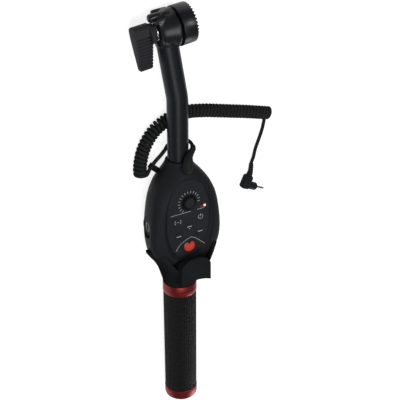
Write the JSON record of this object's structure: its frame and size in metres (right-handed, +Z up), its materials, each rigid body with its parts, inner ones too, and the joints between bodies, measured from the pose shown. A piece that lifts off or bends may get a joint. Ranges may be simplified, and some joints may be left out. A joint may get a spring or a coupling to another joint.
{
  "type": "pan bar remote control",
  "caption": "Tripod pan bar with a toothed clamp, rubber grip and a built-in wired camera remote on a curly cord with a mini-jack.",
  "frame": {"origin": "middle of the footprint at table height, cord and plug left out", "axes": "+Y along the bar from the grip to the clamp, +Z up out of the control panel, +X towards the toothed rosette"},
  "size_m": [0.1433, 0.3918, 0.0535],
  "materials": {
    "black_paint": "fine satin black powder coat",
    "shell_plastic": "moulded black plastic with a fine grain",
    "panel_plastic": "smooth matte black membrane",
    "knob_plastic": "moulded black plastic",
    "rubber": "matte black rubber",
    "cord_jacket": "satin black flexible jacket",
    "red_anodised": "dark red anodised",
    "red_plastic": "semi-gloss red",
    "steel": "plated steel",
    "switch_metal": "dark switch housing",
    "board": "solder-masked circuit board",
    "lamp": "clear lamp lens"
  },
  "bodies": {
    "bar_body": {"bar_tube": "black_paint", "clamp_boss": "black_paint", "rosette": "black_paint", "front_shell": "shell_plastic", "rear_shell": "shell_plastic", "flank_disc": "shell_plastic", "cradle": "shell_plastic", "housing_screw_1": "steel", "housing_screw_2": "steel", "housing_screw_3": "steel", "housing_screw_4": "steel", "control_panel": "panel_plastic", "circuit_board": "board", "power_switch": "switch_metal", "focus_switch": "switch_metal", "mode_switch": "switch_metal", "auto_switch": "switch_metal", "photo_switch": "switch_metal", "rec_switch": "switch_metal", "indicator_lamp": "lamp", "dial_pot": "switch_metal", "grip_core": "shell_plastic", "upper_ring": "red_anodised", "grip_sleeve": "rubber", "lower_ring": "red_anodised", "end_cap": "shell_plastic", "cable_boot": "rubber", "cord_clip": "shell_plastic", "cord_tail": "cord_jacket", "cord_coil": "cord_jacket", "cord_lead": "cord_jacket", "plug_boot": "rubber", "plug_body": "knob_plastic", "plug_pin": "steel"},
    "knob_body": {"wing_knob": "knob_plastic", "clamp_screw": "steel", "retaining_ring": "steel"},
    "dial_body": {"dial_knob": "knob_plastic", "dial_shaft": "steel"},
    "rec_body": {"rec_button": "red_plastic"},
    "power_body": {"power_key": "panel_plastic"},
    "focus_body": {"focus_key": "panel_plastic"},
    "mode_body": {"mode_key": "panel_plastic"},
    "auto_body": {"auto_key": "panel_plastic"},
    "photo_body": {"photo_key": "panel_plastic"}
  },
  "joints": [
    {"name": "knob_turn", "type": "hinge", "parent": "bar_body", "child": "knob_body", "pos_m": [-0.00741, 0.17614, 0.017], "axis": [0.9905, 0.1377, 0], "continuous": true},
    {"name": "dial_turn", "type": "hinge", "parent": "bar_body", "child": "dial_body", "pos_m": [0.00111, 0.0263, 0.0415], "axis": [0, 0, 1], "range_deg": [-120, 120]},
    {"name": "rec_press", "type": "slide", "parent": "bar_body", "child": "rec_body", "axis": [0, 0, -1], "range_m": [0, 0.001], "stiffness_N_per_m": 400},
    {"name": "power_press", "type": "slide", "parent": "bar_body", "child": "power_body", "axis": [0, 0, -1], "range_m": [0, 0.0006], "stiffness_N_per_m": 500},
    {"name": "focus_press", "type": "slide", "parent": "bar_body", "child": "focus_body", "axis": [0, 0, -1], "range_m": [0, 0.0006], "stiffness_N_per_m": 500},
    {"name": "mode_press", "type": "slide", "parent": "bar_body", "child": "mode_body", "axis": [0, 0, -1], "range_m": [0, 0.0006], "stiffness_N_per_m": 500},
    {"name": "auto_press", "type": "slide", "parent": "bar_body", "child": "auto_body", "axis": [0, 0, -1], "range_m": [0, 0.0006], "stiffness_N_per_m": 500},
    {"name": "photo_press", "type": "slide", "parent": "bar_body", "child": "photo_body", "axis": [0, 0, -1], "range_m": [0, 0.0006], "stiffness_N_per_m": 500}
  ]
}
